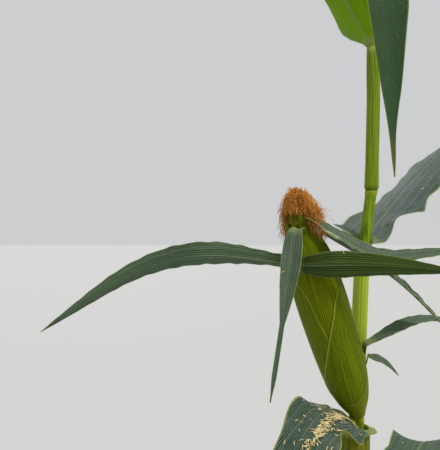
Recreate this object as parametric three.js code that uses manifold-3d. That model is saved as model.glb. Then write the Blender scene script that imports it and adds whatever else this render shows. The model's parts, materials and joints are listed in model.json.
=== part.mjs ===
// A whole maize plant: stalk with brace roots, leaves in two ranks, a husked ear with silk, and a tassel.
// Millimetres, +Z up. The origin is the middle of the flat cut under the stalk, at ground level.
// The ear leans to the front left. The ear leaf is the fifth from the foot.
import * as THREE from "three";
import { mergeVertices } from "three/addons/utils/BufferGeometryUtils.js";
import Module from "manifold-3d";

const wasm = await Module();
wasm.setup();

const { clamp, degToRad, lerp } = THREE.MathUtils;

// Clearance between neighbouring pieces, and how near two corners are when they are one
const GAP = 0.3;
const SAME_PLACE = 1e-4;

// Stalk: height, then where its middle stands sideways and in depth
const CENTRE_LINE = [
  [0, 0, 0], [220, 7, 3], [490, 13, -3], [655, 17, 2], [800, 20, 0], [865, 21.5, -1], [968, 26, 0],
  [1017, 31, 0], [1068, 38, 1], [1170, 40, 0], [1285, 38.5, -1], [1445, 36, 2], [1740, 35, -2],
  [2000, 38, -4],
];
// Stalk: height and bare radius
const STALK_RADIUS = [
  [0, 14], [60, 12.6], [345, 11], [655, 9.4], [800, 8.3], [865, 7.2], [1000, 6.5], [1068, 6.3], [1100, 5.6],
  [1270, 5.4], [1445, 4.8], [1600, 4.2], [1740, 3.6], [1900, 2.8], [2000, 2.4],
];
const STALK_SIDES = 12;
const STALK_TOP = 1985;
// Each node is a ring that swells between two heights below it and one above
const NODE_RING = [[-7, 0], [-2, 1.5], [2, 1.05]];
const SHEATH_FOOT = 8;
const SHEATH_STEPS = 3;

// Brace roots: a ring of stout props from the lowest node down to the ground
const ROOT_COUNT = 11;
const ROOT_START = 52;
const ROOT_REACH = 58;
const ROOT_RADIUS = 3.4;
const ROOT_STEPS = 5;
const ROOT_SIDES = 6;

// Leaves, from the foot up. Node and ligule are heights: at the ligule the sheath ends and the blade begins.
// Angles are in degrees. Facing and turn go round the stalk, rise and fall are the slopes of the two ends,
// bend and spread say where the slope changes, and roll turns the blade about its midrib, first and last.
// Cup is how far each half of the blade bends up, where it isn't BLADE_CUP.
const LEAVES = [
  {
    node: 110, ligule: 205, length: 420, width: 48, facing: 222, turn: 16,
    rise: 52, fall: -62, bend: 0.42, spread: 0.7, roll: [0, -8],
  },
  {
    node: 220, ligule: 330, length: 560, width: 62, facing: 46, turn: -22,
    rise: 56, fall: -66, bend: 0.44, spread: 0.7, roll: [0, 12],
  },
  {
    node: 345, ligule: 470, length: 680, width: 76, facing: 214, turn: -30,
    rise: 44, fall: -64, bend: 0.4, spread: 0.6, roll: [0, -14],
  },
  {
    node: 490, ligule: 618, length: 740, width: 86, facing: 42, turn: 24,
    rise: 36, fall: -64, bend: 0.36, spread: 0.6, roll: [0, 10],
  },
  {
    node: 655, ligule: 800, length: 720, width: 94, facing: 250, turn: -38, pouch: 6.4,
    rise: 23, fall: -66, bend: 0.19, spread: 0.24, roll: [22, -40], cup: 20,
  },
  {
    node: 865, ligule: 1007, length: 790, width: 94, facing: 58, turn: -6,
    rise: 23, fall: -56, bend: 0.66, spread: 0.5, roll: [-2, 14], cup: -34,
  },
  {
    node: 1068, ligule: 1231, length: 642, width: 80, facing: 215, turn: 66,
    rise: 42, fall: -83, bend: 0.447, spread: 0.17, roll: [-5, 0],
  },
  {
    node: 1270, ligule: 1410, length: 680, width: 78, facing: 40, turn: 20,
    rise: 58, fall: -58, bend: 0.46, spread: 0.6, roll: [0, -12],
  },
  {
    node: 1445, ligule: 1570, length: 580, width: 66, facing: 224, turn: -24,
    rise: 60, fall: -48, bend: 0.5, spread: 0.7, roll: [0, 12],
  },
  {
    node: 1600, ligule: 1715, length: 460, width: 54, facing: 44, turn: -20,
    rise: 62, fall: -36, bend: 0.55, spread: 0.7, roll: [0, -8],
  },
  {
    node: 1740, ligule: 1850, length: 340, width: 40, facing: 226, turn: 18,
    rise: 66, fall: -20, bend: 0.6, spread: 0.7, roll: [0, 6],
  },
];
const LEAF_STRIPS = 8;
const SHEATH_WRAP = 165;
const SHEATH_WALL = 1.2;
// The collar: how far above the ligule the blade has its own width, its own slope and its own cup
const COLLAR = 40;
const COLLAR_ROWS = [7, 16, 27, COLLAR, 62];
const LEAVING = 16;
const LEVELLING = 64;
const LEAVING_SLOPE = 88;
const MOUTH_CUP = 105;
const BLADE_CUP = 34;
const LEAF_FOOT = 0.74;
const LEAF_WIDEST = 0.38;
const TURN_BY = 0.4;
const TIP_HALF = 1.2;
// A new row of corners comes after this length, or after this change of slope
const ROW_LENGTH = 92;
const ROW_SLOPE = 17;
// Walls as shares of the blade's length
const MIDRIB_SHARE = 0.011;
const MARGIN_SHARE = 0.0035;
const MIDRIB_WIDTH = 0.3;
const LEAF_WAVE = 0.085;
const WAVES_PER_LEAF = 4.5;

// Ear: the husk runs from the top of the shank to the opening where the silk comes out
const EAR_FOOT = new THREE.Vector3(17, -25, 819);
const EAR_TIP = new THREE.Vector3(-58, -85, 1030);
// Husk: share of the ear's length, and radius
const HUSK_RADIUS = [
  [0, 7], [0.05, 14], [0.12, 20], [0.2, 23.8], [0.3, 25.5], [0.4, 26.6], [0.5, 27.2], [0.6, 27.4],
  [0.74, 26.6], [0.86, 22.5], [0.95, 15.5], [1, 9.5],
];
const HUSK_SIDES = 18;
const HUSK_WALL = 1.9;
const HUSK_CLEAR = 1.9;
const HUSK_STRIP = 20;
// Outer husk leaves: shares of the ear's length, with the angles of the left and the right margin there.
// Angles go round the ear from its front, positive to the right.
const OUTER_HUSKS = {
  husk_front: [
    [0.03, -88, 92], [0.12, -92, 94], [0.21, -88, 92], [0.3, -56, 86], [0.39, -33, 84], [0.48, -13, 82],
    [0.58, 10, 72], [0.66, 27, 62], [0.7, 51, 57],
  ],
  husk_left: [
    [0.03, -178, -97], [0.12, -176, -101], [0.21, -173, -97], [0.3, -170, -65], [0.39, -167, -42],
    [0.46, -165, -26], [0.52, -163, -22], [0.67, -158, -32], [0.77, -152, -58], [0.93, -140, -100],
  ],
  husk_right: [[0.03, 100, 176], [0.22, 101, 180], [0.5, 84, 186], [0.7, 92, 180], [0.86, 118, 150]],
};
// Shank: the heights where it runs beside the stalk, under the ear leaf's sheath
const SHANK_RADIUS = 4.2;
const SHANK_CLEAR = 1.1;
const SHANK_BESIDE = [702, 750, 799];
const SHANK_FACING = 254;

// Husk blades: where on the ear they begin, then the same values as a leaf's. Tail is a thread's share.
const HUSK_BLADES = {
  blade_front: {
    share: 0.99, angle: 4, length: 176, width: 22, facing: 240, turn: -36,
    rise: 4, fall: -80, bend: 0.06, spread: 0.14, roll: [0, 62], tail: 0.36,
  },
  blade_crossing: {
    share: 0.85, angle: -56, length: 168, width: 28, facing: 322, turn: 34,
    rise: 2, fall: -5, bend: 0.5, spread: 0.6, roll: [84, 78], tail: 0,
  },
  blade_left: {
    share: 0.84, angle: -104, length: 262, width: 24, facing: 196, turn: -10,
    rise: 8, fall: -34, bend: 0.45, spread: 0.7, roll: [-50, -66], tail: 0,
  },
  blade_right_upper: {
    share: 0.99, angle: 50, length: 200, width: 24, facing: -10, turn: 30,
    rise: -24, fall: 16, bend: 0.4, spread: 0.6, roll: [-24, -40], tail: 0,
  },
  blade_right_back: {
    share: 0.93, angle: 100, length: 200, width: 23, facing: 8, turn: 10,
    rise: -30, fall: -46, bend: 0.5, spread: 0.6, roll: [-24, -36], tail: 0,
  },
  blade_low_rising: {
    share: 0.34, angle: 96, length: 150, width: 15, facing: 4, turn: 16,
    rise: 26, fall: -20, bend: 0.5, spread: 0.8, roll: [-40, -30], tail: 0,
  },
  blade_low_falling: {
    share: 0.28, angle: 98, length: 40, width: 11, facing: -4, turn: -10,
    rise: -14, fall: -48, bend: 0.5, spread: 0.8, roll: [-40, -30], tail: 0,
  },
};
const HUSK_BLADE_STRIPS = 4;
const HUSK_BLADE_ROWS = 8;
const HUSK_BLADE_CUP = 30;
const HUSK_BLADE_FOOT = 0.5;
const HUSK_BLADE_WIDEST = 0.3;
const HUSK_BLADE_LIFT = 3.2;
const HUSK_BLADE_WALL = 1.3;

// Silk: a tuft over the husk's opening, with locks that hang down round it where no husk blade begins
const SILK_CROWN = new THREE.Vector3(-57, -85, 1052);
const SILK_CROWN_RADIUS = 15;
const SILK_LOCKS = 16;
const SILK_ROOM = 27;
const SILK_THICK = 3.1;
const SILK_SIDES = 5;

// Tassel: a middle spike, with branches that leave it low down
const TASSEL_TOP = 2250;
const TASSEL_NOD = new THREE.Vector3(14, -8, 0);
const TASSEL_BRANCHES = 14;
const TASSEL_FIRST = 2012;
const TASSEL_LAST = 2108;
const BRANCH_LONG = 235;
const BRANCH_SHORT = 130;
const BRANCH_RISE = 66;
const BRANCH_DROOP = 78;
const GOLDEN_ANGLE = 137.5;

function smooth(x) {
  const t = clamp(x, 0, 1);
  return t * t * (3 - 2 * t);
}

// Straight interpolation in a table whose rows start with the place and go on with the values
function lookUp(table, place) {
  const last = table.length - 1;
  if (place <= table[0][0]) return table[0].slice(1);
  if (place >= table[last][0]) return table[last].slice(1);
  const above = table.findIndex((row) => row[0] > place);
  const share = (place - table[above - 1][0]) / (table[above][0] - table[above - 1][0]);
  return table[above].slice(1).map((value, k) => lerp(table[above - 1][k + 1], value, share));
}

function stalkMiddle(z) {
  const [x, y] = lookUp(CENTRE_LINE, z);
  return new THREE.Vector3(x, y, z);
}

function stalkRadius(z) {
  return lookUp(STALK_RADIUS, z)[0];
}

// Direction with a heading round the vertical and a pitch above level, both in radians
function direction(heading, pitch) {
  return new THREE.Vector3(
    Math.cos(pitch) * Math.cos(heading),
    Math.cos(pitch) * Math.sin(heading),
    Math.sin(pitch),
  );
}

// Level direction across a heading
function acrossOf(heading) {
  return new THREE.Vector3(Math.sin(heading), -Math.cos(heading), 0);
}

// Closed mesh from a list of corners and one of faces, turned so that its faces point out
function closedGeometry(points, faces) {
  let volume = 0;
  for (const [a, b, c] of faces) {
    volume += points[a].dot(new THREE.Vector3().crossVectors(points[b], points[c]));
  }
  const corners = [];
  for (const [a, b, c] of faces) {
    const order = volume > 0 ? [a, b, c] : [a, c, b];
    for (const k of order) corners.push(...points[k].toArray());
  }
  const geometry = new THREE.BufferGeometry();
  geometry.setAttribute("position", new THREE.Float32BufferAttribute(corners, 3));
  return mergeVertices(geometry, SAME_PLACE);
}

function addQuad(faces, a, b, c, d) {
  faces.push([a, b, c], [a, c, d]);
}

// Sheet with a wall: each row is a list of corners on the upper side and one on the under side
function sheetGeometry(sheetRows) {
  const rows = sheetRows.length;
  const columns = sheetRows[0].upper.length;
  const points = [...sheetRows.flatMap((row) => row.upper), ...sheetRows.flatMap((row) => row.under)];
  const top = (i, j) => i * columns + j;
  const low = (i, j) => rows * columns + i * columns + j;
  const faces = [];
  const right = columns - 1;
  const end = rows - 1;
  for (let i = 0; i < end; i += 1) {
    for (let j = 0; j < right; j += 1) {
      addQuad(faces, top(i, j), top(i, j + 1), top(i + 1, j + 1), top(i + 1, j));
      addQuad(faces, low(i, j), low(i + 1, j), low(i + 1, j + 1), low(i, j + 1));
    }
    addQuad(faces, top(i, 0), top(i + 1, 0), low(i + 1, 0), low(i, 0));
    addQuad(faces, top(i, right), low(i, right), low(i + 1, right), top(i + 1, right));
  }
  for (let j = 0; j < right; j += 1) {
    addQuad(faces, top(0, j), low(0, j), low(0, j + 1), top(0, j + 1));
    addQuad(faces, top(end, j), top(end, j + 1), low(end, j + 1), low(end, j));
  }
  return closedGeometry(points, faces);
}

// Solid from rings of corners, closed by a fan over its first and its last ring
function ringGeometry(rings) {
  const sides = rings[0].length;
  const points = rings.flat();
  const faces = [];
  const nextOf = (j) => (j + 1) % sides;
  for (let i = 0; i < rings.length - 1; i += 1) {
    const low = i * sides;
    const high = low + sides;
    for (let j = 0; j < sides; j += 1) {
      addQuad(faces, low + j, low + nextOf(j), high + nextOf(j), high + j);
    }
  }
  const middleOf = (ring) => {
    const middle = new THREE.Vector3();
    for (const corner of ring) middle.addScaledVector(corner, 1 / sides);
    return middle;
  };
  const foot = points.push(middleOf(rings[0])) - 1;
  const head = points.push(middleOf(rings[rings.length - 1])) - 1;
  const lastRing = (rings.length - 1) * sides;
  for (let j = 0; j < sides; j += 1) {
    faces.push([nextOf(j), j, foot]);
    faces.push([lastRing + j, lastRing + nextOf(j), head]);
  }
  return closedGeometry(points, faces);
}

function circle(middle, across, up, radius, sides) {
  return Array.from({ length: sides }, (_, k) => {
    const angle = (2 * Math.PI * k) / sides;
    return middle.clone()
      .addScaledVector(across, radius * Math.cos(angle))
      .addScaledVector(up, radius * Math.sin(angle));
  });
}

// Tapering tube through some places; radiusAt takes the share of the way along it
function tubeGeometry(places, radiusAt, steps, sides) {
  const curve = new THREE.CatmullRomCurve3(places);
  const frames = curve.computeFrenetFrames(steps, false);
  const rings = frames.normals.map((normal, i) => (
    circle(curve.getPointAt(i / steps), normal, frames.binormals[i], radiusAt(i / steps), sides)
  ));
  return ringGeometry(rings);
}

function solidOf(geometry) {
  geometry.deleteAttribute("normal");
  geometry.deleteAttribute("uv");
  const merged = mergeVertices(geometry, SAME_PLACE);
  const vertProperties = new Float32Array(merged.attributes.position.array);
  const triVerts = new Uint32Array(merged.index.array);
  return new wasm.Manifold(new wasm.Mesh({ numProp: 3, vertProperties, triVerts }));
}

function geometryOf(solid) {
  const { vertProperties, triVerts } = solid.getMesh();
  const geometry = new THREE.BufferGeometry();
  geometry.setAttribute("position", new THREE.Float32BufferAttribute(vertProperties, 3));
  geometry.setIndex(new THREE.Uint32BufferAttribute(triVerts, 1));
  return geometry;
}

function fuse(geometries) {
  return geometries.map(solidOf).reduce((whole, next) => whole.add(next));
}

const plant = new THREE.Group();

function addPiece(name, geometry, color, roughness) {
  geometry.computeVertexNormals();
  const material = new THREE.MeshStandardMaterial({ color, roughness, metalness: 0 });
  const piece = new THREE.Mesh(geometry, material);
  piece.name = name;
  plant.add(piece);
}

// Stalk

function sheathHeights(leaf) {
  const foot = leaf.node + SHEATH_FOOT;
  return Array.from({ length: SHEATH_STEPS + 1 }, (_, k) => lerp(foot, leaf.ligule, k / SHEATH_STEPS));
}

function stalkRings() {
  const rings = [[0, 0], [STALK_TOP, 0]];
  for (const leaf of LEAVES) {
    for (const [offset, swell] of NODE_RING) rings.push([leaf.node + offset, swell]);
    for (const z of sheathHeights(leaf)) rings.push([z, 0]);
  }
  rings.sort((a, b) => a[0] - b[0]);
  const east = new THREE.Vector3(1, 0, 0);
  const north = new THREE.Vector3(0, 1, 0);
  return rings.map(([z, swell]) => circle(stalkMiddle(z), east, north, stalkRadius(z) + swell, STALK_SIDES));
}

function braceRoot(k) {
  const heading = (2 * Math.PI * k) / ROOT_COUNT + 0.2 * Math.sin(5 * k);
  const reach = ROOT_REACH * (1 + 0.14 * Math.sin(3 * k + 1));
  const start = ROOT_START + 9 * Math.sin(2 * k);
  const at = (distance, z) => direction(heading, 0).multiplyScalar(distance).setZ(z);
  const arch = [at(7, start + 3), at(reach * 0.45, start * 0.86), at(reach * 0.8, start * 0.4)];
  const radiusAt = (t) => ROOT_RADIUS * (1 - 0.2 * t);
  return tubeGeometry([...arch, at(reach, -6)], radiusAt, ROOT_STEPS, ROOT_SIDES);
}

function stalkGeometry() {
  const roots = Array.from({ length: ROOT_COUNT }, (_, k) => braceRoot(k));
  const belowGround = new THREE.BoxGeometry(400, 400, 40);
  belowGround.translate(0, 0, -20);
  return geometryOf(fuse([ringGeometry(stalkRings()), ...roots]).subtract(solidOf(belowGround)));
}

// Blades

function slopeAt(blade, t) {
  return lerp(blade.rise, blade.fall, smooth((t - blade.bend) / blade.spread + 0.5));
}

function headingAt(blade, t) {
  return degToRad(blade.facing + blade.turn * smooth(t / TURN_BY));
}

// Half the blade's width at a share of its length, as a part of the widest
function bladeShape(t, foot, widest) {
  if (t < widest) return foot + (1 - foot) * smooth(t / widest);
  return Math.pow(1 - Math.pow((t - widest) / (1 - widest), 1.35), 0.9);
}

// Walks along a blade's midrib, and gives at each station the place there and the directions of the row.
// The blade has its own roll once it has gone the distance rolledBy.
function bladeFrames(blade, start, stations, firstSlope, rolledBy) {
  const place = start.clone();
  let travelled = 0;
  return stations.map((station) => {
    while (travelled < station) {
      const step = Math.min(1, station - travelled);
      travelled += step;
      const t = travelled / blade.length;
      const slope = lerp(firstSlope, slopeAt(blade, t), smooth(travelled / LEAVING));
      place.addScaledVector(direction(headingAt(blade, t), degToRad(slope)), step);
    }
    const t = station / blade.length;
    const side = acrossOf(headingAt(blade, t));
    const rowSlope = lerp(firstSlope, slopeAt(blade, t), smooth(station / LEVELLING));
    const up = side.clone().cross(direction(headingAt(blade, t), degToRad(rowSlope)));
    const rolled = rolledBy > 0 ? smooth(station / rolledBy) : 1;
    const roll = degToRad(lerp(blade.roll[0], blade.roll[1], smooth(2 * t)) * rolled);
    const across = side.clone().multiplyScalar(Math.cos(roll)).addScaledVector(up, Math.sin(roll));
    const normal = up.multiplyScalar(Math.cos(roll)).addScaledVector(side, -Math.sin(roll));
    return { place: place.clone(), across, normal, t, station };
  });
}

// One row of a sheet that is bent round its midrib by the angle cup on each side
function sheetRow(frame, strips, wallAt, rippleAt) {
  const radius = frame.half / frame.cup;
  const row = { upper: [], under: [] };
  for (let j = 0; j <= strips; j += 1) {
    const u = (2 * j) / strips - 1;
    const angle = frame.cup * u;
    const inward = frame.normal.clone().multiplyScalar(Math.cos(angle))
      .addScaledVector(frame.across, -Math.sin(angle));
    const corner = frame.place.clone()
      .addScaledVector(frame.across, radius * Math.sin(angle))
      .addScaledVector(frame.normal, radius * (1 - Math.cos(angle)) + rippleAt(u));
    row.upper.push(corner);
    row.under.push(corner.clone().addScaledVector(inward, -wallAt(u)));
  }
  return row;
}

// The wall is thick along the midrib and thin at the margins, and thins out towards the tip
function bladeWall(blade, t, u) {
  const thin = blade.length * MARGIN_SHARE * (1 - 0.4 * t);
  const thick = blade.length * MIDRIB_SHARE * (1 - 0.75 * t);
  return thin + (thick - thin) * Math.max(0, 1 - Math.abs(u) / MIDRIB_WIDTH);
}

// Leaves

function leafStations(leaf) {
  const stations = [...COLLAR_ROWS];
  let last = stations[stations.length - 1];
  for (let station = last + 1; station < leaf.length - ROW_LENGTH / 3; station += 1) {
    const turned = Math.abs(slopeAt(leaf, station / leaf.length) - slopeAt(leaf, last / leaf.length));
    if (station - last >= ROW_LENGTH || turned >= ROW_SLOPE) {
      stations.push(station);
      last = station;
    }
  }
  return [...stations, leaf.length];
}

function sheathFrames(leaf) {
  const out = direction(degToRad(leaf.facing), 0);
  const across = acrossOf(degToRad(leaf.facing));
  const wrap = degToRad(SHEATH_WRAP);
  return sheathHeights(leaf).map((z) => {
    const opening = (leaf.pouch ?? 0) * smooth((z - leaf.node) / 45);
    const radius = (stalkRadius(z) + GAP) / Math.cos(wrap / LEAF_STRIPS) + opening;
    const place = stalkMiddle(z).addScaledVector(out, radius + opening);
    return { place, across, normal: out.clone().negate(), half: radius * wrap, cup: wrap, opened: 0, t: 0 };
  });
}

function blendedFrames(leaf, mouth, stations) {
  return bladeFrames(leaf, mouth.place, stations, LEAVING_SLOPE, COLLAR_ROWS[0]).map((frame) => {
    const opened = smooth(frame.station / COLLAR);
    const half = lerp(mouth.half, (leaf.width / 2) * bladeShape(frame.t, LEAF_FOOT, LEAF_WIDEST), opened);
    const open = lerp(mouth.cup, degToRad(MOUTH_CUP), smooth(frame.station / COLLAR_ROWS[0]));
    const cup = lerp(open, degToRad(leaf.cup ?? BLADE_CUP), smooth(frame.station / LEVELLING));
    return { ...frame, opened, cup, half: Math.max(half, TIP_HALF) };
  });
}

function leafRow(leaf, frame) {
  const wallAt = (u) => lerp(SHEATH_WALL, bladeWall(leaf, frame.t, u), frame.opened);
  const wave = Math.sin(2 * Math.PI * WAVES_PER_LEAF * frame.t) * smooth(5 * frame.t);
  const ripple = wave * LEAF_WAVE * frame.half;
  return sheetRow(frame, LEAF_STRIPS, wallAt, (u) => ripple * u * Math.abs(u));
}

// One leaf: its sheath round the stalk, its blade as far as where it bends over, and the blade's end
function addLeaf(leaf, number) {
  const name = `leaf_${String(number).padStart(2, "0")}`;
  const sheath = sheathFrames(leaf);
  const mouth = sheath[sheath.length - 1];
  const stations = leafStations(leaf);
  const inner = stations.filter((station) => station <= leaf.bend * leaf.length);
  const outer = stations.filter((station) => station > leaf.bend * leaf.length);
  const bent = inner[inner.length - 1] + GAP;
  const pieceOf = (frames) => sheetGeometry(frames.map((frame) => leafRow(leaf, frame)));
  addPiece(`${name}_sheath`, pieceOf(sheath), 0x6f8c2c, 0.5);
  addPiece(`${name}_blade`, pieceOf(blendedFrames(leaf, mouth, [GAP, ...inner])), 0x4d7046, 0.6);
  addPiece(`${name}_end`, pieceOf(blendedFrames(leaf, mouth, [bent, ...outer])), 0x4d7046, 0.6);
}

// Ear

const earAxis = EAR_TIP.clone().sub(EAR_FOOT);
const earUp = earAxis.clone().normalize();
const earRight = new THREE.Vector3(1, 0, 0).addScaledVector(earUp, -earUp.x).normalize();
const earFront = earRight.clone().cross(earUp);

function earPoint(share, angle, radius) {
  return EAR_FOOT.clone()
    .addScaledVector(earAxis, share)
    .addScaledVector(earFront, radius * Math.cos(degToRad(angle)))
    .addScaledVector(earRight, radius * Math.sin(degToRad(angle)));
}

function huskRadius(share) {
  return lookUp(HUSK_RADIUS, share)[0];
}

function earBodyGeometry() {
  const inset = HUSK_WALL + HUSK_CLEAR;
  return ringGeometry(HUSK_RADIUS.map(([share, radius]) => (
    Array.from({ length: HUSK_SIDES }, (_, k) => earPoint(share, (360 * k) / HUSK_SIDES, radius - inset))
  )));
}

function outerHuskGeometry(margins) {
  const first = margins[0][0];
  const last = margins[margins.length - 1][0];
  const between = HUSK_RADIUS.map((row) => row[0]).filter((share) => share > first && share < last);
  const strips = Math.ceil(Math.max(...margins.map((row) => row[2] - row[1])) / HUSK_STRIP);
  const rows = [first, ...between, last].map((share) => {
    const [left, right] = lookUp(margins, share);
    const inner = huskRadius(share) - HUSK_WALL;
    const corners = (radius) => Array.from({ length: strips + 1 }, (_, k) => (
      earPoint(share, lerp(left, right, k / strips), radius)
    ));
    return { upper: corners(inner + HUSK_WALL), under: corners(inner) };
  });
  return sheetGeometry(rows);
}

function shankGeometry() {
  const out = direction(degToRad(SHANK_FACING), 0);
  const beside = (z) => stalkMiddle(z).addScaledVector(out, stalkRadius(z) + SHANK_CLEAR + SHANK_RADIUS);
  const below = (distance) => EAR_FOOT.clone().addScaledVector(earUp, -distance);
  const places = [...SHANK_BESIDE.map(beside), below(8), below(GAP)];
  return tubeGeometry(places, () => SHANK_RADIUS, 8, 8);
}

function huskBladeGeometry(blade) {
  const start = earPoint(blade.share, blade.angle, huskRadius(blade.share) + HUSK_BLADE_LIFT);
  const last = HUSK_BLADE_ROWS - 1;
  const stations = Array.from({ length: HUSK_BLADE_ROWS }, (_, k) => Math.max(1, (blade.length * k) / last));
  const rows = bladeFrames(blade, start, stations, blade.rise, 0).map((frame) => {
    const t = Math.min(frame.t / (1 - blade.tail), 1);
    const half = Math.max((blade.width / 2) * bladeShape(t, HUSK_BLADE_FOOT, HUSK_BLADE_WIDEST), 1);
    const wallAt = (u) => HUSK_BLADE_WALL + bladeWall(blade, frame.t, u) / 2;
    return sheetRow({ ...frame, half, cup: degToRad(HUSK_BLADE_CUP) }, HUSK_BLADE_STRIPS, wallAt, () => 0);
  });
  return sheetGeometry(rows);
}

// Silk

function silkLock(angle, k) {
  const hang = 0.09 + 0.04 * Math.sin(2.3 * k + 1);
  const thick = SILK_THICK + 0.5 * Math.sin(3.7 * k);
  const beside = (share) => earPoint(share, angle, huskRadius(share) + thick + 2);
  const places = [
    SILK_CROWN.clone().addScaledVector(earUp, 4),
    earPoint(1.09, angle, 13),
    beside(0.985),
    beside(1 - hang / 2),
    beside(1 - hang),
  ];
  return tubeGeometry(places, (t) => thick * (1 - 0.55 * t * t), 6, SILK_SIDES);
}

function silkGeometry() {
  const crown = new THREE.IcosahedronGeometry(SILK_CROWN_RADIUS, 1);
  crown.translate(SILK_CROWN.x, SILK_CROWN.y, SILK_CROWN.z);
  const feet = Object.values(HUSK_BLADES).filter((blade) => blade.share > 0.9).map((blade) => blade.angle);
  const around = Array.from({ length: SILK_LOCKS }, (_, k) => (360 * k) / SILK_LOCKS - 180);
  const free = around.filter((angle) => feet.every((foot) => Math.abs(angle - foot) > SILK_ROOM));
  return geometryOf(fuse([crown, ...free.map(silkLock)]));
}

// Tassel

const tasselFoot = stalkMiddle(STALK_TOP).setZ(STALK_TOP + GAP);

function spikePoint(z) {
  const share = (z - tasselFoot.z) / (TASSEL_TOP - tasselFoot.z);
  return tasselFoot.clone().addScaledVector(TASSEL_NOD, share * share).setZ(z);
}

function tasselBranch(k) {
  const steps = 5;
  const share = k / (TASSEL_BRANCHES - 1);
  const heading = degToRad(GOLDEN_ANGLE * k);
  const length = lerp(BRANCH_LONG, BRANCH_SHORT, share) * (1 + 0.1 * Math.sin(5 * k));
  const droop = BRANCH_DROOP - 34 * share;
  const places = [spikePoint(lerp(TASSEL_FIRST, TASSEL_LAST, share))];
  for (let j = 0; j < steps; j += 1) {
    const pitch = degToRad(BRANCH_RISE - (droop * (j + 0.5)) / steps);
    places.push(places[j].clone().addScaledVector(direction(heading, pitch), length / steps));
  }
  return tubeGeometry(places, (t) => 1.5 + 1.3 * smooth(5 * t) - 1.5 * t * t, steps, 4);
}

function tasselGeometry() {
  const places = [tasselFoot.z, 2075, 2165, TASSEL_TOP].map(spikePoint);
  const spike = tubeGeometry(places, (t) => 2.3 + 1.6 * smooth(4 * t - 0.8) - 2 * t * t, 9, 6);
  const branches = Array.from({ length: TASSEL_BRANCHES }, (_, k) => tasselBranch(k));
  return geometryOf(fuse([spike, ...branches]));
}

addPiece("stalk", stalkGeometry(), 0x6f8c2c, 0.5);
LEAVES.forEach((leaf, k) => addLeaf(leaf, k + 1));
addPiece("ear_shank", shankGeometry(), 0x86a02f, 0.5);
addPiece("ear_body", earBodyGeometry(), 0x8ea024, 0.5);
for (const [name, margins] of Object.entries(OUTER_HUSKS)) {
  addPiece(name, outerHuskGeometry(margins), 0x6f8f22, 0.5);
}
for (const [name, blade] of Object.entries(HUSK_BLADES)) {
  addPiece(name, huskBladeGeometry(blade), 0x46685a, 0.6);
}
addPiece("silk", silkGeometry(), 0xb0703c, 0.8);
addPiece("tassel", tasselGeometry(), 0xd8c690, 0.8);

export default plant;
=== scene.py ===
"""Maize plant in leaf: a stalk with sheaths and blades, a husked ear with its silk, and a tassel.

The blades follow the same rule as the solids they stand for, with finer rows and strips.
Lengths are in millimetres until a mesh is written.
"""
import json
import random
from math import cos, pi, radians, sin, sqrt, tau

import bpy
import numpy as np
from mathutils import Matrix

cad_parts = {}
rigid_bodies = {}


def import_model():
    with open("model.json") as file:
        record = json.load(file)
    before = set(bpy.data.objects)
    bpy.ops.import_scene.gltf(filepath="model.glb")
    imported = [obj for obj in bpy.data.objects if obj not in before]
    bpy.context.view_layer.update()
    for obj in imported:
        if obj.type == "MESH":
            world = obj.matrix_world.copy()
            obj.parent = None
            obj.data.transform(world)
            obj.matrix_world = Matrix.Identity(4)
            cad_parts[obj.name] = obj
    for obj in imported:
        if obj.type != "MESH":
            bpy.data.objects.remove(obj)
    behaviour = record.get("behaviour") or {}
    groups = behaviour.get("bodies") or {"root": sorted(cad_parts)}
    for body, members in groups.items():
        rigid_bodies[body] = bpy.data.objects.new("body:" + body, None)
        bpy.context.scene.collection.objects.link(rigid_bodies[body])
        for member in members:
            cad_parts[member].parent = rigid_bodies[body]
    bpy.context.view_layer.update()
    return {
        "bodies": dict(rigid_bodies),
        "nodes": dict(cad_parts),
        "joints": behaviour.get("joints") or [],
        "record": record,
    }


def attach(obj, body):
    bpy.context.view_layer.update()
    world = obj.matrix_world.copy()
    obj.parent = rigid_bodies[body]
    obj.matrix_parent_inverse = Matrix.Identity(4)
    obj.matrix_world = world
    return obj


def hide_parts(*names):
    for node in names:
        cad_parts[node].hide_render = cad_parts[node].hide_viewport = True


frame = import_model()

MM = 0.001

# Stalk: height, then where its middle stands sideways and in depth
CENTRE_LINE = [
    (0, 0, 0), (220, 7, 3), (490, 13, -3), (655, 17, 2), (800, 20, 0), (865, 21.5, -1), (968, 26, 0),
    (1017, 31, 0), (1068, 38, 1), (1170, 40, 0), (1285, 38.5, -1), (1445, 36, 2), (1740, 35, -2),
    (2000, 38, -4),
]
STALK_RADIUS = [
    (0, 14), (60, 12.6), (345, 11), (655, 9.4), (800, 8.3), (865, 7.2), (1000, 6.5), (1068, 6.3), (1100, 5.6),
    (1270, 5.4), (1445, 4.8), (1600, 4.2), (1740, 3.6), (1900, 2.8), (2000, 2.4),
]
STALK_TOP, LOWEST_RING = 1985, 58
BRACE_ROOTS, ROOT_REACH, ROOT_HEIGHT, ROOT_RADIUS = 11, 58, 52, 3.5

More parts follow.
